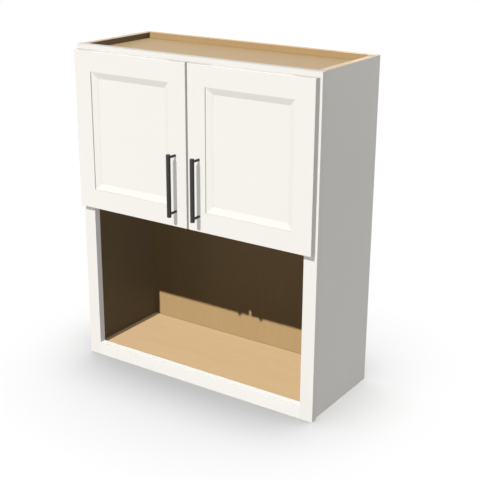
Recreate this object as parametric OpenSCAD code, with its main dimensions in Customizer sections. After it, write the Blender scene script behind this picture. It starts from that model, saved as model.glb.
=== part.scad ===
// Kitchen wall cabinet: face frame, plywood box, two doors over an open shelf.
// Millimetres. X runs along the front, Y from the front to the wall, Z up.
// The origin is under the middle of the whole cabinet, handles included.

/* [Cabinet] */
// Width over the face frame
cabinet_w = 762; // [700:1:915]
// Height of the cabinet
cabinet_h = 914.4; // [900:0.1:1000]
// Depth from the front of the face frame to the wall
cabinet_d = 301.6; // [280:0.1:380]
// Thickness of the sides, top, bottom, deck and shelf
board_t = 19.05; // [18:0.05:20]
// Setback of each side from the edge of the face frame
side_inset = 4.76; // [3:0.01:8]
// Depth of the well above the top board
top_well = 15.9; // [12:0.1:17]
// Height of the underside of the bottom board
bottom_lift = 12.7; // [8:0.1:16]
// Thickness of the back
back_t = 6.35; // [5:0.05:7]
// Thickness of the hanging rails behind the back
hanging_rail_t = 12.7; // [10:0.1:19]
// Height of the hanging rails
hanging_rail_h = 88.9; // [70:0.1:110]

/* [Face frame] */
// Thickness of the face frame
frame_t = 19.05; // [18:0.05:20]
// Width of the face frame's stiles
frame_stile_w = 38.1; // [36:0.1:42]
// Width of the face frame's rails
frame_rail_w = 38.1; // [36:0.1:44]
// Height of the open shelf's opening
open_shelf_h = 419.1; // [360:0.1:440]

/* [Doors] */
// Thickness of the doors
door_t = 19.05; // [18:0.05:20]
// Gap between a closed door and the face frame
door_gap = 1.5; // [1.5:0.05:2]
// Face frame left showing beside each door
side_reveal = 6.35; // [5:0.05:8]
// Face frame left showing above the doors
top_reveal = 12.7; // [8:0.1:20]
// Gap between the two doors
middle_gap = 6.35; // [3:0.01:8]
// How far the doors reach below the top of the middle rail
door_lap = 31.75; // [20:0.05:34]
// Width of the flat face of the doors' stiles and rails
member_flat_w = 55; // [50:0.5:65]
// Width of the sloped moulding inside them
moulding_w = 18; // [12:0.5:20]
// Square step where the moulding begins
moulding_step = 3.8; // [1:0.1:4.2]
// Fall of the moulding's slope
moulding_fall = 5; // [3:0.1:5.4]
// Square foot where the moulding meets the panel
moulding_foot = 0.5; // [0.2:0.1:0.8]
// Thickness of the door panel
panel_t = 6.35; // [5:0.05:6.5]
// Radius of the doors' outer edges
edge_r = 1.5; // [0.5:0.1:2]

/* [Handles] */
// Diameter of the handle's bar
bar_d = 12; // [9:0.5:14]
// Length of the bar
bar_len = 169; // [150:1:200]
// Distance between the two posts
post_pitch = 152.4; // [128:0.1:160]
// Diameter of the posts
post_d = 7; // [6:0.5:8]
// Distance from the door's face to the middle of the bar
bar_reach = 29.2; // [24:0.1:35]
// Distance from the door's free edge to the handle
handle_inset = 34.8; // [25:0.1:50]
// Height of the lower post above the bottom of the door
handle_lift = 42.3; // [30:0.1:60]

/* [Hinges] */
// Distance from each hinge to the end of the door
hinge_inset = 76.2; // [70:0.1:110]
// Diameter of the hinge cup
cup_d = 35; // [35:0.5:36]
// Depth of the hinge cup
cup_depth = 12.5; // [12.4:0.1:12.8]

/* [Shelf] */
// Gap between the shelf and each side
shelf_gap = 1.6; // [1:0.1:3]
// Depth of the adjustable shelf
shelf_d = 235; // [200:1:240]
// Number of holes in each row of shelf pins
pin_rows = 7; // [3:2:9]
// Distance between shelf pin holes
pin_pitch = 32; // [25:1:32]
// Diameter of the shelf pin holes
pin_hole_d = 5; // [5:0.5:6]

/* [Hidden] */
$fn = 64;
over = 1;

// Places worked out from the sizes above
front_reach = door_gap + door_t + bar_reach + bar_d / 2;
plan_middle = (cabinet_d - front_reach) / 2;
half_w = cabinet_w / 2;
side_in = half_w - side_inset - board_t;
well_floor = cabinet_h - top_well;
bottom_top = bottom_lift + board_t;
middle_rail_z = frame_rail_w + open_shelf_h;
middle_rail_top = middle_rail_z + frame_rail_w;
back_front = cabinet_d - hanging_rail_t - back_t;
dado_d = 6.35;
frame_open_half = half_w - frame_stile_w;

// Dowels that join the face frame
dowel_d = 8;
dowel_len = 48;
dowel_end_gap = 1;
dowel_offset = 9.5;

// Shelf pin rows and the shelf that rests on them
pin_first_lift = 95;
pin_front_inset = 45;
pin_rear_inset = 40;
pin_first_z = middle_rail_top + pin_first_lift;
pin_hole_depth = 10;
pin_end_gap = 0.5;
pin_middle_row = (pin_rows - 1) / 2;
pin_front_y = frame_t + pin_front_inset;
pin_rear_y = back_front - pin_rear_inset;
ledge_top = 4;
ledge_reach = 13;
ledge_t = 3;
pin_plate_t = 1.4;
pin_plate_w = 12;
pin_plate_drop = 7;
rib_t = 2;
shelf_z = pin_first_z + pin_middle_row * pin_pitch + ledge_top;
shelf_back_gap = 2;
shelf_y = back_front - shelf_d - shelf_back_gap;
pin_play = 0.1;

// Doors
door_w = (cabinet_w - 2 * side_reveal - middle_gap) / 2;
door_h = cabinet_h - top_reveal - middle_rail_top + door_lap;
door_z = middle_rail_top - door_lap;
door_edge_x = half_w - side_reveal;
door_face = -door_gap - door_t;
member_w = member_flat_w + moulding_w;
panel_depth = moulding_step + moulding_fall + moulding_foot;
groove_d = 10;
panel_play = 1.5;
bumper_d = 8;
bumper_play = 0.1;
bumper_inset = 12;

// Handles
handle_x = door_w - handle_inset;
bar_axis_y = door_face - bar_reach;
bar_overhang = (bar_len - post_pitch) / 2;
bar_end_ease = 0.6;
screw_hole_d = 5;
handle_screw_d = 4;
handle_screw_grip = 12;
handle_head_d = 8;
handle_head_t = 2.4;

// Hinges. Each place is measured from the door's hinge edge and from the
// front of the face frame, on the left door when it is closed.
stile_edge = frame_stile_w - side_reveal;
cup_x = 22.5;
cup_wall = 1;
cup_floor_t = 0.8;
cup_play = 0.05;
flange_t = 0.8;
flange_d = 39;
wing_r = 6;
cup_screw_offset = 9.5;
cup_screw_x = cup_x + cup_screw_offset;
cup_screw_z = 22.5;
cup_screw_d = 3.5;
cup_screw_len = 14;
cup_head_d = 6.6;
cup_head_t = 1.6;
carrier_arm_pivot = [42, 18.5];
carrier_bend = [32, -10];
carrier_cup_pivot = [11, -6];
guide_arm_pivot = [56, 2.5];
guide_bends = [[38, 6], [32, -6.5]];
guide_cup_pivot = [16.5, -7];
pin_d = 2.2;
pin_play_r = 0.05;
open_play_r = 0.95;
open_eye = [[0, -0.7], [0, 0.9]];
link_w = 3.6;
eye_wall = 1;
hinge_plate_t = 1.6;
carrier_half_z = 2.2;
cheek_z = 2.6;
guide_z = 4.6;
ear_z = 6.6;
ear_top = -2.6;
cheek_r = 2.6;
web_clear = 0.5;
web_y = carrier_arm_pivot[1] + cheek_r + web_clear;
web_half_z = 20;
wing_z = 7;
wing_front = 1.5;
arm_screw_z = 14;
arm_screw_d = 3.5;
arm_screw_len = 16;
arm_head_d = 7;
arm_head_t = 1.8;

// Moves a part from the middle of the face frame's front to the origin
module in_place() {
    translate([0, -plan_middle, 0]) children();
}

// Turns a left-hand part into its right-hand twin
module as_right() {
    mirror([1, 0, 0]) children();
}

// Box from its low corner to its high corner
module block(low, high) {
    translate(low) cube(high - low);
}

// Cylinder along X from a point
module rod_x(p, d, len) {
    translate(p) rotate([0, 90, 0]) cylinder(d = d, h = len);
}

// Cylinder along Y, towards the wall, from a point
module rod_y(p, d, len) {
    translate(p) rotate([-90, 0, 0]) cylinder(d = d, h = len);
}

// Dowels at the left ends of the rails, fatter or longer where asked
module dowel_set(extra) {
    for (z = [frame_rail_w / 2, middle_rail_z + frame_rail_w / 2, cabinet_h - frame_rail_w / 2]) {
        for (s = [-1, 1]) {
            start = [-frame_open_half - dowel_len / 2 - extra, frame_t / 2, z + s * dowel_offset];
            rod_x(start, dowel_d, dowel_len + 2 * extra);
        }
    }
}

module frame_stile_left() {
    difference() {
        block([-half_w, 0, 0], [-frame_open_half, frame_t, cabinet_h]);
        dowel_set(dowel_end_gap);
        on_door() each_hinge() arm_screw_holes();
    }
}

module frame_rail(z) {
    difference() {
        block([-frame_open_half, 0, z], [frame_open_half, frame_t, z + frame_rail_w]);
        dowel_set(dowel_end_gap);
        as_right() dowel_set(dowel_end_gap);
    }
}

// Dado for a board that ends in the left side
module side_dado(low_z, high_z) {
    block([-side_in - dado_d, frame_t - over, low_z], [-side_in + over, back_front, high_z]);
}

module pin_holes() {
    for (y = [pin_front_y, pin_rear_y]) {
        for (row = [0 : pin_rows - 1]) {
            z = pin_first_z + row * pin_pitch;
            rod_x([-side_in - pin_hole_depth, y, z], pin_hole_d, pin_hole_depth + over);
        }
    }
}

module side_left() {
    difference() {
        block([-side_in - board_t, frame_t, 0], [-side_in, cabinet_d, cabinet_h]);
        side_dado(bottom_lift, bottom_top);
        side_dado(middle_rail_top - board_t, middle_rail_top);
        side_dado(well_floor - board_t, well_floor);
        translate([-side_in - dado_d, back_front, -over]) cube([dado_d + over, back_t, cabinet_h + 2 * over]);
        pin_holes();
    }
}

module fixed_board(top_z) {
    reach = side_in + dado_d;
    block([-reach, frame_t, top_z - board_t], [reach, back_front, top_z]);
}

module hanging_rail(low_z) {
    block([-side_in, back_front + back_t, low_z], [side_in, cabinet_d, low_z + hanging_rail_h]);
}

module shelf_pin() {
    stem_d = pin_hole_d - 2 * pin_play;
    half_plate = pin_plate_w / 2;
    rod_x([-pin_hole_depth + pin_end_gap, 0, 0], stem_d, pin_hole_depth);
    block([0, -half_plate, -pin_plate_drop], [pin_plate_t, half_plate, ledge_top]);
    block([0, -half_plate, ledge_top - ledge_t], [ledge_reach, half_plate, ledge_top]);
    // Rib under the ledge
    translate([0, rib_t / 2, 0]) rotate([90, 0, 0]) linear_extrude(rib_t) polygon([
        [0, -pin_plate_drop],
        [pin_plate_t, -pin_plate_drop],
        [ledge_reach - rib_t, ledge_top - rib_t],
        [0, ledge_top - rib_t]
    ]);
}

module shelf_pin_pair() {
    for (y = [pin_front_y, pin_rear_y]) {
        translate([-side_in, y, shelf_z - ledge_top]) shelf_pin();
    }
}

// Door members. Their section runs from the outer edge inwards and from
// the face to the back, with the moulding and the panel groove inside.
member_section = [
    [0, 0],
    [member_flat_w, 0],
    [member_flat_w, moulding_step],
    [member_w, moulding_step + moulding_fall],
    [member_w, panel_depth],
    [member_w - groove_d, panel_depth],
    [member_w - groove_d, panel_depth + panel_t],
    [member_w, panel_depth + panel_t],
    [member_w, door_t],
    [0, door_t]
];

module door_stile_bar() {
    translate([0, door_face, 0]) linear_extrude(door_h) polygon(member_section);
}

// Both stiles of a door, the far one mirrored
module door_stile_pair() {
    door_stile_bar();
    translate([door_w, 0, 0]) mirror([1, 0, 0]) door_stile_bar();
}

// A rail's full section between the stiles' flat faces, ends coped over them
module door_rail_bar() {
    turned = [for (p = member_section) [p[1], p[0]]];
    difference() {
        translate([member_flat_w, door_face, 0])
            rotate([90, 0, 90])
            linear_extrude(door_w - 2 * member_flat_w) polygon(turned);
        door_stile_pair();
    }
}

// Outline with its two front corners rounded, face at zero
module eased_outline(len) {
    translate([0, edge_r]) square([len, door_t - edge_r]);
    translate([edge_r, 0]) square([len - 2 * edge_r, door_t]);
    for (x = [edge_r, len - edge_r]) translate([x, edge_r]) circle(r = edge_r);
}

// The whole door as a slab with eased outer edges
module door_envelope() {
    intersection() {
        translate([0, door_face, 0]) linear_extrude(door_h) eased_outline(door_w);
        translate([0, door_face, 0])
            rotate([90, 0, 90])
            linear_extrude(door_w)
            mirror([1, -1]) eased_outline(door_h);
    }
}

// Places a part of the left door, drawn from its hinge edge and its bottom
module on_door() {
    translate([-door_edge_x, 0, door_z]) children();
}

module hinge_stile() {
    intersection() {
        difference() {
            door_stile_bar();
            each_hinge() cup_bore();
        }
        door_envelope();
    }
}

module handle_stile() {
    intersection() {
        difference() {
            translate([door_w, 0, 0]) mirror([1, 0, 0]) door_stile_bar();
            each_post() rod_y([0, door_face - over, 0], screw_hole_d, door_t + 2 * over);
        }
        door_envelope();
    }
}

module low_rail() {
    intersection() {
        door_rail_bar();
        door_envelope();
    }
}

module high_rail() {
    intersection() {
        translate([0, 0, door_h]) mirror([0, 0, 1]) door_rail_bar();
        door_envelope();
    }
}

module door_panel() {
    edge = member_w - groove_d + panel_play;
    back = door_face + panel_depth + panel_t;
    block([edge, door_face + panel_depth, edge], [door_w - edge, back, door_h - edge]);
}

module door_bumpers() {
    for (z = [bumper_inset, door_h - bumper_inset]) {
        rod_y([door_w - bumper_inset, -door_gap, z], bumper_d, door_gap - bumper_play);
    }
}

// Repeats a handle part at both posts
module each_post() {
    for (z = [handle_lift, handle_lift + post_pitch]) translate([handle_x, 0, z]) children();
}

// Bar with eased ends, bored half through for each post
module handle_bar() {
    r = bar_d / 2;
    e = bar_end_ease;
    difference() {
        translate([handle_x, bar_axis_y, handle_lift - bar_overhang]) rotate_extrude()
            polygon([[0, 0], [r - e, 0], [r, e], [r, bar_len - e], [r - e, bar_len], [0, bar_len]]);
        each_post() rod_y([0, bar_axis_y, 0], post_d, bar_d);
    }
}

module handle_posts() {
    difference() {
        each_post() rod_y([0, bar_axis_y, 0], post_d, bar_reach);
        each_post() rod_y([0, door_face - handle_screw_grip, 0], handle_screw_d, handle_screw_grip + over);
    }
}

module handle_screws() {
    each_post() {
        rod_y([0, door_face - handle_screw_grip, 0], handle_screw_d, handle_screw_grip + door_t);
        rod_y([0, -door_gap, 0], handle_head_d, handle_head_t);
    }
}

// Repeats a part at both hinges of a door
module each_hinge() {
    for (z = [hinge_inset, door_h - hinge_inset]) translate([0, 0, z]) children();
}

// Repeats a part above and below the middle of a hinge
module both_ways() {
    children();
    mirror([0, 0, 1]) children();
}

// Flat bar along a bent path, round at every point
module strip(points, w) {
    for (i = [0 : len(points) - 2]) {
        run = points[i + 1] - points[i];
        translate(points[i]) rotate(atan2(run[1], run[0])) translate([0, -w / 2]) square([norm(run), w]);
    }
    for (p = points) translate(p) circle(d = w);
}

module pin(p, low_z, high_z) {
    translate([p[0], p[1], low_z]) cylinder(d = pin_d, h = high_z - low_z);
}

// Screws that hold a cup, their heads sunk flush
module cup_screw_pair() {
    top = -door_gap + flange_t;
    both_ways() {
        rod_y([cup_screw_x, top - cup_screw_len, cup_screw_z], cup_screw_d, cup_screw_len);
        translate([cup_screw_x, top, cup_screw_z]) rotate([90, 0, 0])
            cylinder(d1 = cup_head_d, d2 = cup_screw_d, h = cup_head_t);
    }
}

module cup_bore() {
    rod_y([cup_x, -door_gap - cup_depth, 0], cup_d, cup_depth + over);
    cup_screw_pair();
}

module flange_outline() {
    circle(d = flange_d);
    translate([0, -cup_screw_z]) square([cup_screw_offset + wing_r, 2 * cup_screw_z]);
    for (s = [-1, 1]) translate([cup_screw_offset, s * cup_screw_z]) circle(r = wing_r);
}

// Space inside a cup, less the two ears that hold its pins
module cup_hollow() {
    floor_y = -door_gap - cup_depth + cup_floor_t;
    inner_d = cup_d - 2 * cup_play - 2 * cup_wall;
    difference() {
        rod_y([cup_x, floor_y, 0], inner_d, cup_depth + over);
        both_ways() block([0, floor_y - over, ear_z], [2 * cup_x, ear_top, ear_z + hinge_plate_t]);
    }
}

module cup_pin_set() {
    pin(carrier_cup_pivot, -ear_z - hinge_plate_t, ear_z + hinge_plate_t);
    both_ways() pin(guide_cup_pivot, guide_z, ear_z + hinge_plate_t);
}

module hinge_cup() {
    difference() {
        union() {
            rod_y([cup_x, -door_gap - cup_depth, 0], cup_d - 2 * cup_play, cup_depth);
            translate([cup_x, -door_gap, 0]) rotate([-90, 0, 0]) linear_extrude(flange_t) flange_outline();
        }
        cup_hollow();
        cup_screw_pair();
        cup_pin_set();
    }
}

// Link that carries the door
module carrier_link() {
    ends = [carrier_arm_pivot, carrier_cup_pivot];
    translate([0, 0, -carrier_half_z]) linear_extrude(2 * carrier_half_z) difference() {
        union() {
            strip([carrier_arm_pivot, carrier_bend, carrier_cup_pivot], link_w);
            for (p = ends) translate(p) circle(r = pin_d / 2 + pin_play_r + eye_wall);
        }
        for (p = ends) translate(p) circle(r = pin_d / 2 + pin_play_r);
    }
}

// Pair of links that guide the door, open where they meet the arm
module guide_links() {
    path = [guide_arm_pivot, guide_bends[0], guide_bends[1], guide_cup_pivot];
    both_ways() translate([0, 0, guide_z]) linear_extrude(hinge_plate_t) difference() {
        union() {
            strip(path, link_w);
            translate(guide_cup_pivot) circle(r = pin_d / 2 + pin_play_r + eye_wall);
            translate(guide_arm_pivot) strip(open_eye, pin_d + 2 * open_play_r + 2 * eye_wall);
        }
        translate(guide_cup_pivot) circle(r = pin_d / 2 + pin_play_r);
        translate(guide_arm_pivot) strip(open_eye, pin_d + 2 * open_play_r);
    }
}

// Pins of the arm, longer where asked
module arm_pin_set(extra) {
    carrier_end = cheek_z + hinge_plate_t + extra;
    guide_end = guide_z + hinge_plate_t + extra;
    pin(carrier_arm_pivot, -carrier_end, carrier_end);
    pin(guide_arm_pivot, -guide_end, guide_end);
}

// Cheek of the arm, from the web behind the stile forward to both pins
module cheek_outline() {
    near = carrier_arm_pivot[0] - cheek_r;
    far = guide_arm_pivot[0] + cheek_r;
    front = guide_arm_pivot[1] - cheek_r;
    chamfer = cheek_r / 2;
    polygon([
        [near, web_y + over],
        [near, carrier_arm_pivot[1] - chamfer],
        [guide_arm_pivot[0] - cheek_r, front + chamfer],
        [guide_arm_pivot[0] - chamfer, front],
        [guide_arm_pivot[0] + chamfer, front],
        [far, front + chamfer],
        [far, web_y + over]
    ]);
}

module arm_screw_holes() {
    start = stile_edge + hinge_plate_t - arm_screw_len;
    both_ways() rod_x([start, frame_t / 2, arm_screw_z], arm_screw_d, arm_screw_len);
}

module arm_screw_pair() {
    arm_screw_holes();
    both_ways() rod_x([stile_edge + hinge_plate_t, frame_t / 2, arm_screw_z], arm_head_d, arm_head_t);
}

// One folded piece: web behind the stile, wings on its edge, cheeks between
module hinge_arm() {
    far = guide_arm_pivot[0] + cheek_r;
    difference() {
        union() {
            block([stile_edge, web_y, -web_half_z], [far, web_y + hinge_plate_t, web_half_z]);
            both_ways() translate([0, 0, cheek_z]) linear_extrude(hinge_plate_t) cheek_outline();
            both_ways()
                block([stile_edge, wing_front, wing_z], [stile_edge + hinge_plate_t, web_y + over, web_half_z]);
        }
        arm_screw_holes();
        arm_pin_set(over);
    }
}

paint = [0.95, 0.94, 0.91];
wood = [0.82, 0.68, 0.48];
blackened = [0.14, 0.14, 0.15];
steel = [0.74, 0.75, 0.77];
clear_soft = [0.86, 0.87, 0.87];

module left_frame_stile() { color(paint) in_place() frame_stile_left(); }
module right_frame_stile() { color(paint) in_place() as_right() frame_stile_left(); }
module frame_top_rail() { color(paint) in_place() frame_rail(cabinet_h - frame_rail_w); }
module frame_middle_rail() { color(paint) in_place() frame_rail(middle_rail_z); }
module frame_bottom_rail() { color(paint) in_place() frame_rail(0); }
module frame_dowels() {
    color(wood) in_place() {
        dowel_set(0);
        as_right() dowel_set(0);
    }
}
module left_side() { color(paint) in_place() side_left(); }
module right_side() { color(paint) in_place() as_right() side_left(); }
module top_board() { color(wood) in_place() fixed_board(well_floor); }
module bottom_board() { color(wood) in_place() fixed_board(bottom_top); }
module deck_board() { color(wood) in_place() fixed_board(middle_rail_top); }
module back_board() {
    reach = side_in + dado_d;
    color(wood) in_place() block([-reach, back_front, 0], [reach, back_front + back_t, cabinet_h]);
}
module top_hanging_rail() { color(wood) in_place() hanging_rail(cabinet_h - hanging_rail_h); }
module bottom_hanging_rail() { color(wood) in_place() hanging_rail(0); }
module adjustable_shelf() {
    reach = side_in - shelf_gap;
    color(wood) in_place()
        block([-reach, shelf_y, shelf_z], [reach, shelf_y + shelf_d, shelf_z + board_t]);
}
module shelf_pins() {
    color(steel) in_place() {
        shelf_pin_pair();
        as_right() shelf_pin_pair();
    }
}
module left_door_hinge_stile() { color(paint) in_place() on_door() hinge_stile(); }
module left_door_handle_stile() { color(paint) in_place() on_door() handle_stile(); }
module left_door_top_rail() { color(paint) in_place() on_door() high_rail(); }
module left_door_bottom_rail() { color(paint) in_place() on_door() low_rail(); }
module left_door_panel() { color(paint) in_place() on_door() door_panel(); }
module left_door_bumpers() { color(clear_soft) in_place() on_door() door_bumpers(); }
module left_handle_bar() { color(blackened) in_place() on_door() handle_bar(); }
module left_handle_posts() { color(blackened) in_place() on_door() handle_posts(); }
module left_handle_screws() { color(steel) in_place() on_door() handle_screws(); }
module left_hinge_cups() { color(steel) in_place() on_door() each_hinge() hinge_cup(); }
module left_cup_screws() { color(steel) in_place() on_door() each_hinge() cup_screw_pair(); }
module left_hinge_arms() { color(steel) in_place() on_door() each_hinge() hinge_arm(); }
module left_arm_screws() { color(steel) in_place() on_door() each_hinge() arm_screw_pair(); }
module left_outer_links() { color(steel) in_place() on_door() each_hinge() guide_links(); }
module left_inner_links() { color(steel) in_place() on_door() each_hinge() carrier_link(); }
module left_arm_pins() { color(steel) in_place() on_door() each_hinge() arm_pin_set(0); }
module left_cup_pins() { color(steel) in_place() on_door() each_hinge() cup_pin_set(); }
module right_door_hinge_stile() { color(paint) in_place() as_right() on_door() hinge_stile(); }
module right_door_handle_stile() { color(paint) in_place() as_right() on_door() handle_stile(); }
module right_door_top_rail() { color(paint) in_place() as_right() on_door() high_rail(); }
module right_door_bottom_rail() { color(paint) in_place() as_right() on_door() low_rail(); }
module right_door_panel() { color(paint) in_place() as_right() on_door() door_panel(); }
module right_door_bumpers() { color(clear_soft) in_place() as_right() on_door() door_bumpers(); }
module right_handle_bar() { color(blackened) in_place() as_right() on_door() handle_bar(); }
module right_handle_posts() { color(blackened) in_place() as_right() on_door() handle_posts(); }
module right_handle_screws() { color(steel) in_place() as_right() on_door() handle_screws(); }
module right_hinge_cups() { color(steel) in_place() as_right() on_door() each_hinge() hinge_cup(); }
module right_cup_screws() { color(steel) in_place() as_right() on_door() each_hinge() cup_screw_pair(); }
module right_hinge_arms() { color(steel) in_place() as_right() on_door() each_hinge() hinge_arm(); }
module right_arm_screws() { color(steel) in_place() as_right() on_door() each_hinge() arm_screw_pair(); }
module right_outer_links() { color(steel) in_place() as_right() on_door() each_hinge() guide_links(); }
module right_inner_links() { color(steel) in_place() as_right() on_door() each_hinge() carrier_link(); }
module right_arm_pins() { color(steel) in_place() as_right() on_door() each_hinge() arm_pin_set(0); }
module right_cup_pins() { color(steel) in_place() as_right() on_door() each_hinge() cup_pin_set(); }

left_frame_stile();
right_frame_stile();
frame_top_rail();
frame_middle_rail();
frame_bottom_rail();
frame_dowels();
left_side();
right_side();
top_board();
bottom_board();
deck_board();
back_board();
top_hanging_rail();
bottom_hanging_rail();
adjustable_shelf();
shelf_pins();
left_door_hinge_stile();
left_door_handle_stile();
left_door_top_rail();
left_door_bottom_rail();
left_door_panel();
left_door_bumpers();
left_handle_bar();
left_handle_posts();
left_handle_screws();
left_hinge_cups();
left_cup_screws();
left_hinge_arms();
left_arm_screws();
left_outer_links();
left_inner_links();
left_arm_pins();
left_cup_pins();
right_door_hinge_stile();
right_door_handle_stile();
right_door_top_rail();
right_door_bottom_rail();
right_door_panel();
right_door_bumpers();
right_handle_bar();
right_handle_posts();
right_handle_screws();
right_hinge_cups();
right_cup_screws();
right_hinge_arms();
right_arm_screws();
right_outer_links();
right_inner_links();
right_arm_pins();
right_cup_pins();
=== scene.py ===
import bpy
import bmesh
import math
from mathutils import Matrix, Vector


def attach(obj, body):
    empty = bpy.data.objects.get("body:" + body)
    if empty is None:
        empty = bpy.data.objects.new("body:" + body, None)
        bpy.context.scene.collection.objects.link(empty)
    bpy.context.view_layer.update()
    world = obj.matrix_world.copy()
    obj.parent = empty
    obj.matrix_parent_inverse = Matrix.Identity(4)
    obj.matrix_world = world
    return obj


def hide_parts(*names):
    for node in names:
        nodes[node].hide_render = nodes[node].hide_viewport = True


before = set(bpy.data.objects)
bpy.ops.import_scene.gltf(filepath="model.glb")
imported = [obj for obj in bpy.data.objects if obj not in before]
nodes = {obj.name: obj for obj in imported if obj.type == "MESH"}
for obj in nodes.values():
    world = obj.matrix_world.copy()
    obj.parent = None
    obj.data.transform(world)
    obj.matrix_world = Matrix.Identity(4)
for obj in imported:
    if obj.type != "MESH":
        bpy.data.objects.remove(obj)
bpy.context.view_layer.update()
print("frame loaded,", len(nodes), "nodes")

millimetre = 0.001


# small helpers for objects and node trees

def placed(name, data):
    thing = bpy.data.objects.new(name, data)
    bpy.context.scene.collection.objects.link(thing)
    return thing


def newGroup(name, inputs, outputs):
    group = bpy.data.node_groups.new(name, "ShaderNodeTree")
    for label, kind, value in inputs:
        socket = group.interface.new_socket(name=label, in_out="INPUT", socket_type=kind)
        if value is not None:
            socket.default_value = value
    for label, kind in outputs:
        group.interface.new_socket(name=label, in_out="OUTPUT", socket_type=kind)
    goingIn = group.nodes.new("NodeGroupInput").outputs
    comingOut = group.nodes.new("NodeGroupOutput").inputs
    return group, goingIn, comingOut


def addNode(tree, kind, **settings):
    node = tree.nodes.new(kind)
    for key, value in settings.items():
        setattr(node, key, value)
    return node


def setOrJoin(tree, socket, value):
    if isinstance(value, (int, float)):
        socket.default_value = value
    elif isinstance(value, (tuple, list)):
        socket.default_value = (*value[:3], 1) if socket.type == "RGBA" else value
    else:
        tree.links.new(value, socket)


def maths(tree, operation, a, b=0.0):
    node = addNode(tree, "ShaderNodeMath", operation=operation)
    setOrJoin(tree, node.inputs[0], a)
    setOrJoin(tree, node.inputs[1], b)
    return node.outputs[0]


def times(tree, a, b):
    return maths(tree, "MULTIPLY", a, b)


def plus(tree, a, b):
    return maths(tree, "ADD", a, b)


def minus(tree, a, b):
    return maths(tree, "SUBTRACT", a, b)


def mixColour(tree, factor, a, b, blend="MIX"):
    node = addNode(tree, "ShaderNodeMix", data_type="RGBA", blend_type=blend)
    for socket, value in ((node.inputs[0], factor), (node.inputs[6], a), (node.inputs[7], b)):
        setOrJoin(tree, socket, value)
    return node.outputs[2]


def noise(tree, vector, scale, detail=2.0, roughness=0.5, distortion=0.0):
    node = addNode(tree, "ShaderNodeTexNoise")
    for label, value in (("Scale", scale), ("Detail", detail), ("Roughness", roughness),
                         ("Distortion", distortion), ("Vector", vector)):
        setOrJoin(tree, node.inputs[label], value)
    return node.outputs["Fac"]


def span(tree, value, low, high, outLow=0.0, outHigh=1.0):
    node = addNode(tree, "ShaderNodeMapRange", clamp=True)
    for label, number in (("Value", value), ("From Min", low), ("From Max", high),
                          ("To Min", outLow), ("To Max", outHigh)):
        setOrJoin(tree, node.inputs[label], number)
    return node.outputs["Result"]


def parts(tree, vector):
    node = addNode(tree, "ShaderNodeSeparateXYZ")
    tree.links.new(vector, node.inputs[0])
    return node.outputs


def shaded(colour, share):
    return tuple(channel * share for channel in colour)


# effects that several finishes share; the scales are counts per metre

# Clear-coated veneer: broad figure, darker streaks and fine pores.
# The vector comes in already drawn out along the grain.
veneer = {"broad": 9.0, "streak": 70.0, "pore": 420.0, "broadShare": 0.55, "streakShare": 0.45,
          "poreShade": (0.72, 0.66, 0.58), "relief": 0.3}
veneerFigure, goingIn, comingOut = newGroup(
    "veneerFigure",
    [("Vector", "NodeSocketVector", None),
     ("Pale", "NodeSocketColor", (0.7, 0.5, 0.25, 1)),
     ("Warm", "NodeSocketColor", (0.6, 0.4, 0.2, 1)),
     ("Pore Depth", "NodeSocketFloat", 0.5)],
    [("Color", "NodeSocketColor"), ("Height", "NodeSocketFloat")])
tree = veneerFigure
broad = noise(tree, goingIn["Vector"], veneer["broad"], detail=4.0, roughness=0.55, distortion=0.6)
streak = noise(tree, goingIn["Vector"], veneer["streak"], detail=3.0, roughness=0.6, distortion=0.2)
pore = noise(tree, goingIn["Vector"], veneer["pore"], roughness=0.7)
figure = plus(tree, times(tree, span(tree, broad, 0.3, 0.7), veneer["broadShare"]),
              times(tree, span(tree, streak, 0.35, 0.7), veneer["streakShare"]))
plain = mixColour(tree, figure, goingIn["Pale"], goingIn["Warm"])
poreMask = times(tree, span(tree, pore, 0.58, 0.72), goingIn["Pore Depth"])
tree.links.new(mixColour(tree, poreMask, plain, veneer["poreShade"], "MULTIPLY"), comingOut["Color"])
tree.links.new(minus(tree, times(tree, figure, veneer["relief"]), poreMask), comingOut["Height"])

# Sprayed enamel: faint orange peel over wood whose grain just shows through
film = {"peel": 620.0, "cloud": 5.0, "fibre": 160.0, "peelShare": 0.5,
        "cloudShade": (0.985, 0.985, 0.98), "roughness": (0.38, 0.46)}
enamelFilm, goingIn, comingOut = newGroup(
    "enamelFilm",
    [("Vector", "NodeSocketVector", None),
     ("Grain Vector", "NodeSocketVector", None),
     ("Paint", "NodeSocketColor", (0.9, 0.88, 0.84, 1)),
     ("Show Through", "NodeSocketFloat", 0.2)],
    [("Color", "NodeSocketColor"), ("Roughness", "NodeSocketFloat"), ("Height", "NodeSocketFloat")])
tree = enamelFilm
peel = noise(tree, goingIn["Vector"], film["peel"])
cloud = noise(tree, goingIn["Vector"], film["cloud"], detail=3.0)
fibre = noise(tree, goingIn["Grain Vector"], film["fibre"], detail=3.0, roughness=0.6)
shade = mixColour(tree, span(tree, cloud, 0.3, 0.7), film["cloudShade"], (1.0, 1.0, 1.0))
tree.links.new(mixColour(tree, 1.0, goingIn["Paint"], shade, "MULTIPLY"), comingOut["Color"])
tree.links.new(span(tree, cloud, 0.3, 0.7, *film["roughness"]), comingOut["Roughness"])
tree.links.new(plus(tree, times(tree, peel, film["peelShare"]),
                    times(tree, fibre, goingIn["Show Through"])), comingOut["Height"])

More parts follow.
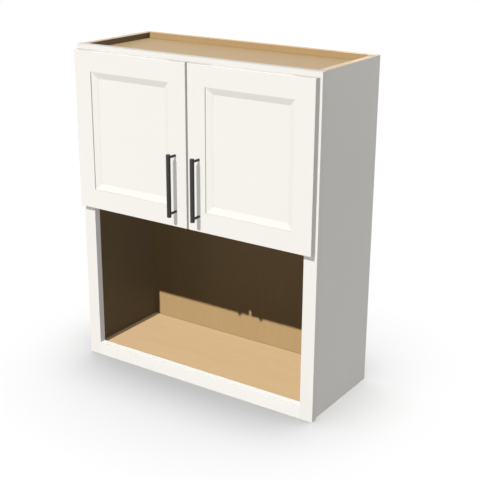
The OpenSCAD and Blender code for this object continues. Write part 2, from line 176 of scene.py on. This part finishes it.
# Plies seen on a board's bare edge, counted across its thickness
ply = {"wander": 0.12, "wanderScale": 40.0}
plyLines, goingIn, comingOut = newGroup(
    "plyLines",
    [("Across", "NodeSocketFloat", 0.0), ("Plies", "NodeSocketFloat", 7.0),
     ("Vector", "NodeSocketVector", None)],
    [("Mask", "NodeSocketFloat"), ("Glue", "NodeSocketFloat")])
tree = plyLines
waver = noise(tree, goingIn["Vector"], ply["wanderScale"])
wander = times(tree, minus(tree, waver, 0.5), ply["wander"])
layer = times(tree, plus(tree, goingIn["Across"], wander), goingIn["Plies"])
everyOther = maths(tree, "FRACT", times(tree, layer, 0.5))
fromMiddle = maths(tree, "ABSOLUTE", minus(tree, everyOther, 0.5))
tree.links.new(span(tree, fromMiddle, 0.22, 0.28), comingOut["Mask"])
toGlue = maths(tree, "ABSOLUTE", minus(tree, maths(tree, "FRACT", layer), 0.5))
tree.links.new(span(tree, toGlue, 0.44, 0.49), comingOut["Glue"])

# Rolled or drawn metal: hair-fine lines along one way, and a few soft patches
drawn = {"hair": 900.0, "patch": 60.0, "hairShare": 0.4, "patchShare": 0.6}
drawnMetal, goingIn, comingOut = newGroup(
    "drawnMetal",
    [("Vector", "NodeSocketVector", None), ("Smooth", "NodeSocketFloat", 0.25),
     ("Dull", "NodeSocketFloat", 0.45)],
    [("Roughness", "NodeSocketFloat"), ("Height", "NodeSocketFloat")])
tree = drawnMetal
hair = noise(tree, goingIn["Vector"], drawn["hair"], roughness=0.6)
patch = noise(tree, goingIn["Vector"], drawn["patch"])
lines = plus(tree, times(tree, hair, drawn["hairShare"]), times(tree, patch, drawn["patchShare"]))
tree.links.new(lines, comingOut["Height"])
roughness = span(tree, lines, 0.35, 0.65, goingIn["Smooth"], goingIn["Dull"])
tree.links.new(roughness, comingOut["Roughness"])
print("shared effects made")


# finishes

def newFinish(name, specular=0.5):
    material = bpy.data.materials.new(name)
    material.use_nodes = True
    tree = material.node_tree
    shader = tree.nodes["Principled BSDF"]
    shader.inputs["Specular IOR Level"].default_value = specular
    return material, tree, shader, addNode(tree, "ShaderNodeTexCoord").outputs


def useGroup(tree, group, **values):
    node = addNode(tree, "ShaderNodeGroup", node_tree=group)
    for label, value in values.items():
        setOrJoin(tree, node.inputs[label.replace("_", " ")], value)
    return node.outputs


def bump(tree, shader, height, strength, distance):
    node = addNode(tree, "ShaderNodeBump")
    node.inputs["Strength"].default_value = strength
    node.inputs["Distance"].default_value = distance
    tree.links.new(height, node.inputs["Height"])
    tree.links.new(node.outputs["Normal"], shader.inputs["Normal"])


def dimBounce(tree, colour, share):
    # a surface hands on less light than it takes, so that gaps and the open shelf stay deep
    ray = addNode(tree, "ShaderNodeLightPath").outputs["Is Diffuse Ray"]
    weak = mixColour(tree, 1.0, colour, (share,) * 3, "MULTIPLY")
    return mixColour(tree, ray, colour, weak)


grain = {"across": 1.0, "along": 0.045}    # how fast the figure changes each way


def grainVector(tree, place, way):
    scale = [grain["across"]] * 3
    scale["xyz".index(way)] = grain["along"]
    node = addNode(tree, "ShaderNodeVectorMath", operation="MULTIPLY")
    tree.links.new(place["Object"], node.inputs[0])
    setOrJoin(tree, node.inputs[1], scale)
    return node.outputs[0]


# Paint on the face frame, the doors and the outside of the box
enamel = {
    "colour": (0.83, 0.807, 0.763),
    "gloss": 0.1,
    "showThrough": 0.25,
    "bounce": 0.2,        # share of its light that the paint passes on
    "bumpStrength": 0.25,
    "bumpMetres": 0.00005,
}


def enamelCoat(tree, place, way):
    return useGroup(tree, enamelFilm, Vector=place["Object"],
                    Grain_Vector=grainVector(tree, place, way),
                    Paint=enamel["colour"], Show_Through=enamel["showThrough"])


def enamelFinish(name, way):
    material, tree, shader, place = newFinish(name, enamel["gloss"])
    coat = enamelCoat(tree, place, way)
    tree.links.new(dimBounce(tree, coat["Color"], enamel["bounce"]), shader.inputs["Base Color"])
    tree.links.new(coat["Roughness"], shader.inputs["Roughness"])
    bump(tree, shader, coat["Height"], enamel["bumpStrength"], enamel["bumpMetres"])
    return material


# Clear-coated birch veneer, inside the box and on its raw edges
birch = {
    "pale": (0.785, 0.562, 0.314),
    "warm": (0.745, 0.518, 0.282),
    "poreDepth": 0.35,
    "edgePale": (0.74, 0.56, 0.36),
    "edgeDark": (0.50, 0.34, 0.19),
    "glue": (0.22, 0.14, 0.08),
    "plyShow": 0.55,
    "glueShow": 0.5,
    "pliesInBoard": 7.0,
    "thickness": 19.05 * millimetre,
    # a dark joint line where a board meets the back, widened into painted shade in that corner
    "jointShade": (0.20, 0.12, 0.055),
    "jointShadeWidth": 7 * millimetre,
    "jointShadeShow": 0.6,
    "gloss": 0.12,
    "roughness": 0.42,
    "bounce": 0.02,       # share of its light that the wood passes on
    "bumpStrength": 0.25,
    "bumpMetres": 0.00008,
    "underPaint": 0.5,    # how much of the veneer's relief the side boards keep
}
# how far each board's tone lies from the palest one
boardTone = {
    "floor": (0.806, 0.79, 0.78),
    "side": (0.85, 0.85, 0.85),
    "top": (0.70, 0.68, 0.64),
    "back": (0.815, 0.757, 0.652),
    "rail": (0.95, 0.95, 0.95),
    "dowel": (0.9, 0.9, 0.9),
}
sideInner = 357.19 * millimetre      # from the middle to each side's inner face
backFront = 159.625 * millimetre     # from the middle to the back's front face


def toned(colour, tone):
    return tuple(c * t for c, t in zip(colour, tone))


def veneerFinish(name, way, tone, across=None, edgeStart=0.0, painted=False, jointShade=False):
    # across names the axis that a plywood board is thin along, edgeStart is where it begins
    material, tree, shader, place = newFinish(name, birch["gloss"])
    face = useGroup(tree, veneerFigure, Vector=grainVector(tree, place, way),
                    Pale=toned(birch["pale"], boardTone[tone]),
                    Warm=toned(birch["warm"], boardTone[tone]), Pore_Depth=birch["poreDepth"])
    colour, height = face["Color"], face["Height"]
    point = parts(tree, place["Object"])
    facing = parts(tree, place["Normal"])
    if across:
        # plies on every face but the two broad ones
        thin = "xyz".index(across)
        depth = maths(tree, "DIVIDE", minus(tree, point[thin], edgeStart), birch["thickness"])
        plies = useGroup(tree, plyLines, Across=depth, Plies=birch["pliesInBoard"],
                         Vector=place["Object"])
        darkPly = times(tree, plies["Mask"], birch["plyShow"])
        glueLine = times(tree, plies["Glue"], birch["glueShow"])
        edge = mixColour(tree, darkPly, birch["edgePale"], birch["edgeDark"])
        edge = mixColour(tree, glueLine, edge, birch["glue"])
        broadFace = maths(tree, "GREATER_THAN", maths(tree, "ABSOLUTE", facing[thin]), 0.5)
        colour = mixColour(tree, broadFace, edge, colour)
    if jointShade:
        # a dark joint line where the board meets the back, widened into painted shade in that corner
        toBack = minus(tree, backFront, point[1])
        jointShadeMask = span(tree, toBack, birch["jointShadeWidth"] / 2, birch["jointShadeWidth"], birch["jointShadeShow"], 0.0)
        colour = mixColour(tree, jointShadeMask, colour, birch["jointShade"])
    colour = dimBounce(tree, colour, birch["bounce"])
    if painted:
        # the outer face wears the enamel: there the normal points away from the middle
        outward = maths(tree, "GREATER_THAN", times(tree, facing[0], point[0]), 0.1)
        coat = enamelCoat(tree, place, way)
        colour = mixColour(tree, outward, colour, coat["Color"])
        height = plus(tree, coat["Height"], times(tree, height, birch["underPaint"]))
    tree.links.new(colour, shader.inputs["Base Color"])
    shader.inputs["Roughness"].default_value = birch["roughness"]
    bump(tree, shader, height, birch["bumpStrength"], birch["bumpMetres"])
    return material


# Blackened bar handles, a fine powder coat
blackCoat = {
    "colour": (0.017, 0.017, 0.015),
    "fleck": (0.034, 0.034, 0.030),
    "fleckShow": 0.5,
    "gritScale": 1500.0,
    "rubScale": 35.0,
    "gloss": 0.32,
    "roughness": (0.30, 0.42),
    "bumpStrength": 0.3,
    "bumpMetres": 0.00004,
}


def handleFinish():
    material, tree, shader, place = newFinish("powderBlack", blackCoat["gloss"])
    grit = noise(tree, place["Object"], blackCoat["gritScale"], roughness=0.6)
    rub = noise(tree, place["Object"], blackCoat["rubScale"], detail=3.0)
    flecks = times(tree, span(tree, grit, 0.5, 0.75), blackCoat["fleckShow"])
    colour = mixColour(tree, flecks, blackCoat["colour"], blackCoat["fleck"])
    tree.links.new(colour, shader.inputs["Base Color"])
    tree.links.new(span(tree, rub, 0.3, 0.7, *blackCoat["roughness"]), shader.inputs["Roughness"])
    bump(tree, shader, grit, blackCoat["bumpStrength"], blackCoat["bumpMetres"])
    return material


# Nickel-plated steel of the hinges, screws and shelf pins
nickel = {
    "colour": (0.62, 0.60, 0.57),
    "spotShade": 0.86,
    "spotScale": 90.0,
    "smooth": 0.22,
    "dull": 0.42,
    "bumpStrength": 0.2,
    "bumpMetres": 0.00002,
}


def nickelFinish(name, way):
    material, tree, shader, place = newFinish(name)
    metal = useGroup(tree, drawnMetal, Vector=grainVector(tree, place, way),
                     Smooth=nickel["smooth"], Dull=nickel["dull"])
    spots = noise(tree, place["Object"], nickel["spotScale"], detail=4.0, roughness=0.6)
    spotted = shaded(nickel["colour"], nickel["spotShade"])
    colour = mixColour(tree, span(tree, spots, 0.3, 0.75), nickel["colour"], spotted)
    tree.links.new(colour, shader.inputs["Base Color"])
    shader.inputs["Metallic"].default_value = 1.0
    tree.links.new(metal["Roughness"], shader.inputs["Roughness"])
    bump(tree, shader, metal["Height"], nickel["bumpStrength"], nickel["bumpMetres"])
    return material


# Soft clear bumpers on the doors' backs
bumperGel = {
    "colour": (0.78, 0.79, 0.78),
    "hazeShade": 0.93,
    "hazeScale": 300.0,
    "roughness": (0.35, 0.45),
}


def bumperFinish():
    material, tree, shader, place = newFinish("bumperGel")
    haze = noise(tree, place["Object"], bumperGel["hazeScale"])
    hazy = shaded(bumperGel["colour"], bumperGel["hazeShade"])
    tree.links.new(mixColour(tree, haze, hazy, bumperGel["colour"]), shader.inputs["Base Color"])
    tree.links.new(span(tree, haze, 0.3, 0.7, *bumperGel["roughness"]), shader.inputs["Roughness"])
    return material


def dress(nodeName, material):
    slots = nodes[nodeName].data.materials
    slots.clear()
    slots.append(material)


enamelUp = enamelFinish("enamelUpright", "z")
enamelOver = enamelFinish("enamelCrosswise", "x")
for rail in ("top", "middle", "bottom"):
    dress("frame_" + rail + "_rail", enamelOver)
dress("left_side", veneerFinish("birchSideLeft", "z", "side", "x", -sideInner, painted=True))
dress("right_side", veneerFinish("birchSideRight", "z", "side", "x", sideInner, painted=True))
# the level boards, each with the height of its underside in millimetres
for board, label, tone, underside in (
        ("top_board", "birchTop", "top", 879.45),
        ("bottom_board", "birchFloor", "floor", 12.7),
        ("deck_board", "birchDeck", "floor", 476.25),
        ("adjustable_shelf", "birchShelf", "floor", 690.3)):
    dress(board, veneerFinish(label, "x", tone, "z", underside * millimetre, jointShade=True))
dress("back_board", veneerFinish("birchBack", "z", "back"))
dress("top_hanging_rail", veneerFinish("birchTopHangingRail", "x", "rail"))
dress("bottom_hanging_rail", veneerFinish("birchBottomHangingRail", "x", "rail"))
dress("frame_dowels", veneerFinish("beechDowel", "x", "dowel"))
powderBlack = handleFinish()
nickelUp = nickelFinish("nickelUpright", "z")
nickelOver = nickelFinish("nickelCrosswise", "x")
gel = bumperFinish()
dress("shelf_pins", nickelOver)
sideDress = (
    (enamelUp, ("frame_stile", "door_hinge_stile", "door_handle_stile", "door_panel")),
    (enamelOver, ("door_top_rail", "door_bottom_rail")),
    (powderBlack, ("handle_bar", "handle_posts")),
    (gel, ("door_bumpers",)),
    (nickelUp, ("hinge_cups", "hinge_arms")),
    (nickelOver, ("cup_screws", "arm_screws", "handle_screws", "outer_links", "inner_links",
                  "arm_pins", "cup_pins")),
)
for side in ("left", "right"):
    for material, names in sideDress:
        for name in names:
            dress(side + "_" + name, material)
print("finishes made")


# screws with cross recesses and threads, and domed bumpers, in place of the plain ones

# Measures are in millimetres. A head is a half section: radius, and depth below its top.
# Spots are those of the right door and the right half of the box; the left ones are mirrored.
doorDepth = 122.925              # from the face frame's front to the middle of the whole cabinet
hingeHeights = (539.75, 825.5)
turnedParts = {
    "cup_screws": {
        "head": [(0, 0), (3.05, 0), (3.3, 0.15), (1.75, 1.6)],
        "root": 1.3, "crest": 1.75, "length": 14.0, "pitch": 1.3, "cross": 1.9,
        "facing": "y", "top": -0.7, "body": "door",
        "spots": [(342.65, z + s * 22.5) for z in hingeHeights for s in (-1, 1)]},
    "handle_screws": {
        "head": [(0, 0), (2.0, 0.08), (3.3, 0.6), (3.95, 1.6), (4.0, 2.4), (2.0, 2.4)],
        "root": 1.65, "crest": 2.0, "length": 33.4, "pitch": 0.9, "cross": 2.3,
        "facing": "y", "top": 0.9, "body": "door",
        "spots": [(37.975, z) for z in (505.85, 658.25)]},
    "door_bumpers": {
        "head": [(0, 0), (1.6, 0.06), (2.9, 0.32), (3.7, 0.75), (4.0, 1.4)], "length": 1.4,
        "facing": "y", "top": -0.1, "body": "door",
        "spots": [(15.175, z) for z in (475.55, 889.7)]},
    "arm_screws": {
        "head": [(0, 0), (1.9, 0.08), (2.9, 0.5), (3.4, 1.1), (3.5, 1.8), (1.75, 1.8)],
        "root": 1.3, "crest": 1.75, "length": 17.8, "pitch": 1.3, "cross": 2.1,
        "facing": "x", "top": 339.5, "body": "box",
        "spots": [(9.525, z + s * 14) for z in hingeHeights for s in (-1, 1)]},
}
crossSlot = {"width": 0.75, "above": 0.3, "depth": 1.3, "footReach": 0.4, "footWidth": 0.6}
tipShare = 0.8                   # a screw's tip beside its thread's root
screwTurn = {"first": 0.3, "next": 0.8}    # so that no two recesses line up
roundSteps = 32
sharpAngle = 35


def halfSection(part):
    points = list(part["head"])
    if "pitch" in part:
        depth = points[-1][1] + part["pitch"] / 2
        while depth + part["pitch"] < part["length"]:
            points += [(part["root"], depth), (part["crest"], depth + part["pitch"] / 2)]
            depth += part["pitch"]
        points += [(part["root"] * tipShare, part["length"])]
    return points + [(0, part["length"])]


def turned(points):
    mesh = bmesh.new()
    angles = [math.tau * i / roundSteps for i in range(roundSteps)]
    rings = []
    for radius, depth in points:
        around = angles if radius > 0 else angles[:1]
        ring = [(radius * math.cos(a), radius * math.sin(a), -depth) for a in around]
        rings.append([mesh.verts.new(point) for point in ring])
    for upper, lower in zip(rings, rings[1:]):
        for i in range(roundSteps):
            corners = [upper[i % len(upper)], lower[i % len(lower)],
                       lower[(i + 1) % len(lower)], upper[(i + 1) % len(upper)]]
            mesh.faces.new(list(dict.fromkeys(corners)))    # a triangle where a ring is one point
    bmesh.ops.recalc_face_normals(mesh, faces=mesh.faces)
    return mesh


def cutCross(mesh, reach):
    # two tapered slots, taken out of the head one after the other
    thing = placed("blank", bpy.data.meshes.new("blank"))
    mesh.to_mesh(thing.data)
    cutters = []
    for quarter in (0, 1):
        slot = bmesh.new()
        bmesh.ops.create_cube(slot, size=1.0)
        for v in slot.verts:
            length, width, z = 2 * reach, crossSlot["width"], crossSlot["above"]
            if v.co.z < 0:
                length *= crossSlot["footReach"]
                width *= crossSlot["footWidth"]
                z = -crossSlot["depth"]
            v.co = Vector((v.co.x * length, v.co.y * width, z))
        turn = Matrix.Rotation(quarter * math.pi / 2, 3, "Z")
        bmesh.ops.rotate(slot, verts=slot.verts, matrix=turn)
        cutter = placed("slot", bpy.data.meshes.new("slot"))
        slot.to_mesh(cutter.data)
        cut = thing.modifiers.new("cut", "BOOLEAN")
        cut.object = cutter
        cut.operation = "DIFFERENCE"
        cutters.append(cutter)
    bpy.context.view_layer.update()
    evaluated = thing.evaluated_get(bpy.context.evaluated_depsgraph_get())
    done = bpy.data.meshes.new_from_object(evaluated)
    for spare in [thing] + cutters:
        bpy.data.objects.remove(spare)
    result = bmesh.new()
    result.from_mesh(done)
    return result


def turnedPiece(side, kind, material):
    part = turnedParts[kind]
    sign = 1 if side == "right" else -1
    one = turned(halfSection(part))
    if "cross" in part:
        one = cutCross(one, part["cross"])
    blank = bpy.data.meshes.new("blank")
    one.to_mesh(blank)
    whole = bmesh.new()
    for i, (across, z) in enumerate(part["spots"]):
        if part["facing"] == "y":
            spot = (sign * across, part["top"] - doorDepth, z)
            tilt = Matrix.Rotation(-math.pi / 2, 4, "X")
        else:
            spot = (sign * part["top"], across - doorDepth, z)
            tilt = Matrix.Rotation(-sign * math.pi / 2, 4, "Y")
        spin = Matrix.Rotation(screwTurn["first"] + screwTurn["next"] * i, 4, "Z")
        shift = Matrix.Scale(millimetre, 4) @ Matrix.Translation(spot) @ tilt @ spin
        first = len(whole.verts)
        whole.from_mesh(blank)
        whole.verts.ensure_lookup_table()
        bmesh.ops.transform(whole, matrix=shift, verts=whole.verts[first:])
    for face in whole.faces:
        face.smooth = True
    mesh = bpy.data.meshes.new(side + "_" + kind + "_turned")
    whole.to_mesh(mesh)
    mesh.set_sharp_from_angle(angle=math.radians(sharpAngle))
    mesh.materials.append(material)
    piece = placed(mesh.name, mesh)
    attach(piece, side + "_door" if part["body"] == "door" else "cabinet")
    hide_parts(side + "_" + kind)
    return piece


turnedPieces = []
for side in ("left", "right"):
    for kind in turnedParts:
        soft = kind == "door_bumpers"
        material, slotName = (gel, "bumper") if soft else (nickelOver, "steel")
        turnedPieces.append(turnedPiece(side, kind, material))
print("screws and bumpers made")


# floor and backdrop

floorSheet = {
    "size": 12.0,
    "paper": 0.85,     # how pale the floor is under its own lamps
    "glow": 0.02,      # so that the shadow's core isn't quite dark
    "dull": 0.12,      # how pale it is to the light that it hands on
}
half = floorSheet["size"] / 2
floorMesh = bpy.data.meshes.new("floor")
floorMesh.from_pydata([(-half, -half, 0), (half, -half, 0), (half, half, 0), (-half, half, 0)],
                      [], [(0, 1, 2, 3)])
floor = placed("floor", floorMesh)
floor.visible_shadow = False    # the panels in front reach below it


def mixShader(tree, factor, a, b):
    node = addNode(tree, "ShaderNodeMixShader")
    for socket, value in zip(node.inputs, (factor, a, b)):
        tree.links.new(value, socket)
    return node.outputs[0]


def matte(tree, tone):
    node = addNode(tree, "ShaderNodeBsdfDiffuse")
    node.inputs["Color"].default_value = (tone, tone, tone, 1)
    return node.outputs[0]


def emission(tree, strength):
    node = addNode(tree, "ShaderNodeEmission")
    node.inputs["Strength"].default_value = strength
    return node.outputs[0]


whiteFloor = bpy.data.materials.new("whiteFloor")
whiteFloor.use_nodes = True
tree = whiteFloor.node_tree
tree.nodes.clear()
rays = addNode(tree, "ShaderNodeLightPath").outputs
lit = addNode(tree, "ShaderNodeAddShader")
tree.links.new(matte(tree, floorSheet["paper"]), lit.inputs[0])
tree.links.new(emission(tree, floorSheet["glow"]), lit.inputs[1])
seen = mixShader(tree, rays["Is Camera Ray"], matte(tree, floorSheet["dull"]), lit.outputs[0])
mirrored = mixShader(tree, rays["Is Glossy Ray"], seen, emission(tree, 1.0))
tree.links.new(mirrored, addNode(tree, "ShaderNodeOutputMaterial").inputs[0])
floorMesh.materials.append(whiteFloor)

# the world is white where it is seen or mirrored, and dim as a light
worldLight = 0.01
world = bpy.data.worlds.new("studio")
bpy.context.scene.world = world
world.use_nodes = True
tree = world.node_tree
backdrop = tree.nodes["Background"]
backdrop.inputs["Color"].default_value = (1, 1, 1, 1)
rays = addNode(tree, "ShaderNodeLightPath").outputs
direct = maths(tree, "MAXIMUM", rays["Is Camera Ray"], rays["Is Glossy Ray"])
direct = maths(tree, "MAXIMUM", direct, rays["Is Transmission Ray"])
tree.links.new(span(tree, direct, 0.0, 1.0, worldLight, 1.0), backdrop.inputs["Strength"])
print("floor and backdrop placed")


# lamps

middle = Vector((0, 0, 0.45))    # the point that every panel looks at


def gathered(name, things):
    collection = bpy.data.collections.new(name)
    for thing in things:
        collection.objects.link(thing)
    return collection


def addLamp(name, kind, way, energy, receivers):
    lamp = bpy.data.lights.new(name, kind)
    lamp.energy = energy
    lamp.cycles.use_multiple_importance_sampling = False    # with it, linked lamps come out too dim
    thing = placed(name, lamp)
    thing.rotation_euler = Vector(way).to_track_quat("-Z", "Y").to_euler()
    thing.light_linking.receiver_collection = gathered(name + "Lights", receivers)
    return thing


def addSun(name, travel, strength, angle, receivers, blockers=None):
    sun = addLamp(name, "SUN", travel, strength * math.pi, receivers)
    sun.data.angle = math.radians(angle)
    if blockers:
        sun.light_linking.blocker_collection = gathered(name + "Shades", blockers)


def addPanel(name, place, size, strength, receivers, shadows=False):
    way = middle - Vector(place)
    panel = addLamp(name, "AREA", way, strength * math.pi ** 2 * way.length_squared, receivers)
    panel.location = place
    panel.data.size = size
    panel.data.use_shadow = shadows


def named(*names):
    return [nodes[name] for name in names]


def matching(word, leftOut):
    return [nodes[name] for name in sorted(nodes) if word in name and leftOut not in name]


cadPieces = [nodes[name] for name in sorted(nodes)]
framePieces = matching("frame_", "dowels")
doorPieces = matching("door", "bumper")
painted = framePieces + doorPieces
bare = [piece for piece in cadPieces if piece not in painted] + turnedPieces
handles = named("left_handle_bar", "left_handle_posts", "right_handle_bar", "right_handle_posts")
topRails = named("left_door_top_rail", "right_door_top_rail")
restOfDoors = [piece for piece in doorPieces + handles if piece not in topRails]
sideBoards = named("left_side", "right_side")
floorBoards = named("bottom_board", "deck_board", "adjustable_shelf")
backBoards = named("back_board", "top_hanging_rail", "bottom_hanging_rail")
bareBoards = sideBoards + floorBoards + named("top_board", "back_board")

# the key falls a little more steeply on the wood than on the paint
keyLight = {
    "ontoPaint": (-0.06, 1, -0.87),
    "paint": 0.81,
    "ontoWood": (0, 1, -1.182),
    "wood": 1.15,
    "angle": 0.8,
}
addSun("keyOnPaint", keyLight["ontoPaint"], keyLight["paint"], keyLight["angle"], painted,
       [piece for piece in cadPieces if piece not in topRails])
addSun("keyOnWood", keyLight["ontoWood"], keyLight["wood"], keyLight["angle"], bare)

# broad fills without shadows, one of each to the right and one to the left:
# place on the right, size, strength
pairedFills = {
    "DoorFill": ((3.3, -4.9, 0.7), 3.0, 0.268),
    "TopRailFill": ((3.3, -4.9, 3.4), 3.0, 0.284),    # high, which shades the moulding
    "FrameFill": ((4.2, -4.3, 0.7), 3.0, 0.30),
    "BackFill": ((2.2, 2.6, 8.0), 4.0, 0.11),
    "SideFill": ((6.0, 0, 0.45), 3.0, 0.305),
    "EdgeFill": ((6.0, 0, 0.45), 3.0, 0.11),
}
for side, sign in (("right", 1), ("left", -1)):
    fillsOnto = {"DoorFill": restOfDoors, "TopRailFill": topRails, "FrameFill": framePieces,
                 "BackFill": painted, "SideFill": named(side + "_side"), "EdgeFill": painted}
    for label, ((across, along, height), size, strength) in pairedFills.items():
        addPanel(side + label, (sign * across, along, height), size, strength, fillsOnto[label])

# and the single ones: place, size, strength
singleFills = {
    "rearFill": ((0, 6, 2), 5.0, 0.6),
    "rearEdgeFill": ((0, 6, 2), 5.0, 0.6),
    "woodGlow": ((4.5, -4.5, 0.6), 3.0, 0.066),
    "shelfGlow": ((0, -0.5, 6), 3.0, 0.3),
    "ledgeFill": ((0, -0.8, 6), 3.0, 0.5),
}
addPanel("rearFill", *singleFills["rearFill"], backBoards)
# this one casts shadows, so that the back board keeps it out of the open shelf
addPanel("rearEdgeFill", *singleFills["rearEdgeFill"], sideBoards, shadows=True)
addPanel("woodGlow", *singleFills["woodGlow"], bareBoards)
addPanel("shelfGlow", *singleFills["shelfGlow"], floorBoards)
addPanel("ledgeFill", *singleFills["ledgeFill"], named("frame_bottom_rail"))

# two wide lamps straight above make the floor's soft shadow: strength, angle
floorSuns = {"floorWide": (0.63, 68), "floorNear": (0.53, 26)}
for name, (strength, angle) in floorSuns.items():
    addSun(name, (0, 0, -1), strength, angle, [floor])
print("lamps placed")


# camera

eye = {
    "place": (1.53624, -2.178556, 1.32722),
    "turn": 0.592539,     # to the left of straight ahead, in radians
    "dip": 0.33722,
    "roll": 0.005124,
    "focal": 1021.085,    # in pixels of a frame that is 480 pixels wide
    "frame": 480,
    "sensor": 36.0,
}
lens = bpy.data.cameras.new("camera")
lens.sensor_width = eye["sensor"]
lens.lens = eye["focal"] * eye["sensor"] / eye["frame"]
camera = placed("camera", lens)
bpy.context.scene.camera = camera
turn, dip, roll = eye["turn"], eye["dip"], eye["roll"]
ahead = Vector((-math.sin(turn) * math.cos(dip), math.cos(turn) * math.cos(dip), -math.sin(dip)))
right = Vector((math.cos(turn), math.sin(turn), 0))
up = right.cross(ahead)
rightRolled = right * math.cos(roll) + up * math.sin(roll)
upRolled = up * math.cos(roll) - right * math.sin(roll)
facing = Matrix((rightRolled, upRolled, -ahead)).transposed().to_4x4()
camera.matrix_world = Matrix.Translation(eye["place"]) @ facing
bpy.context.scene.view_settings.view_transform = "Standard"
print("camera placed")
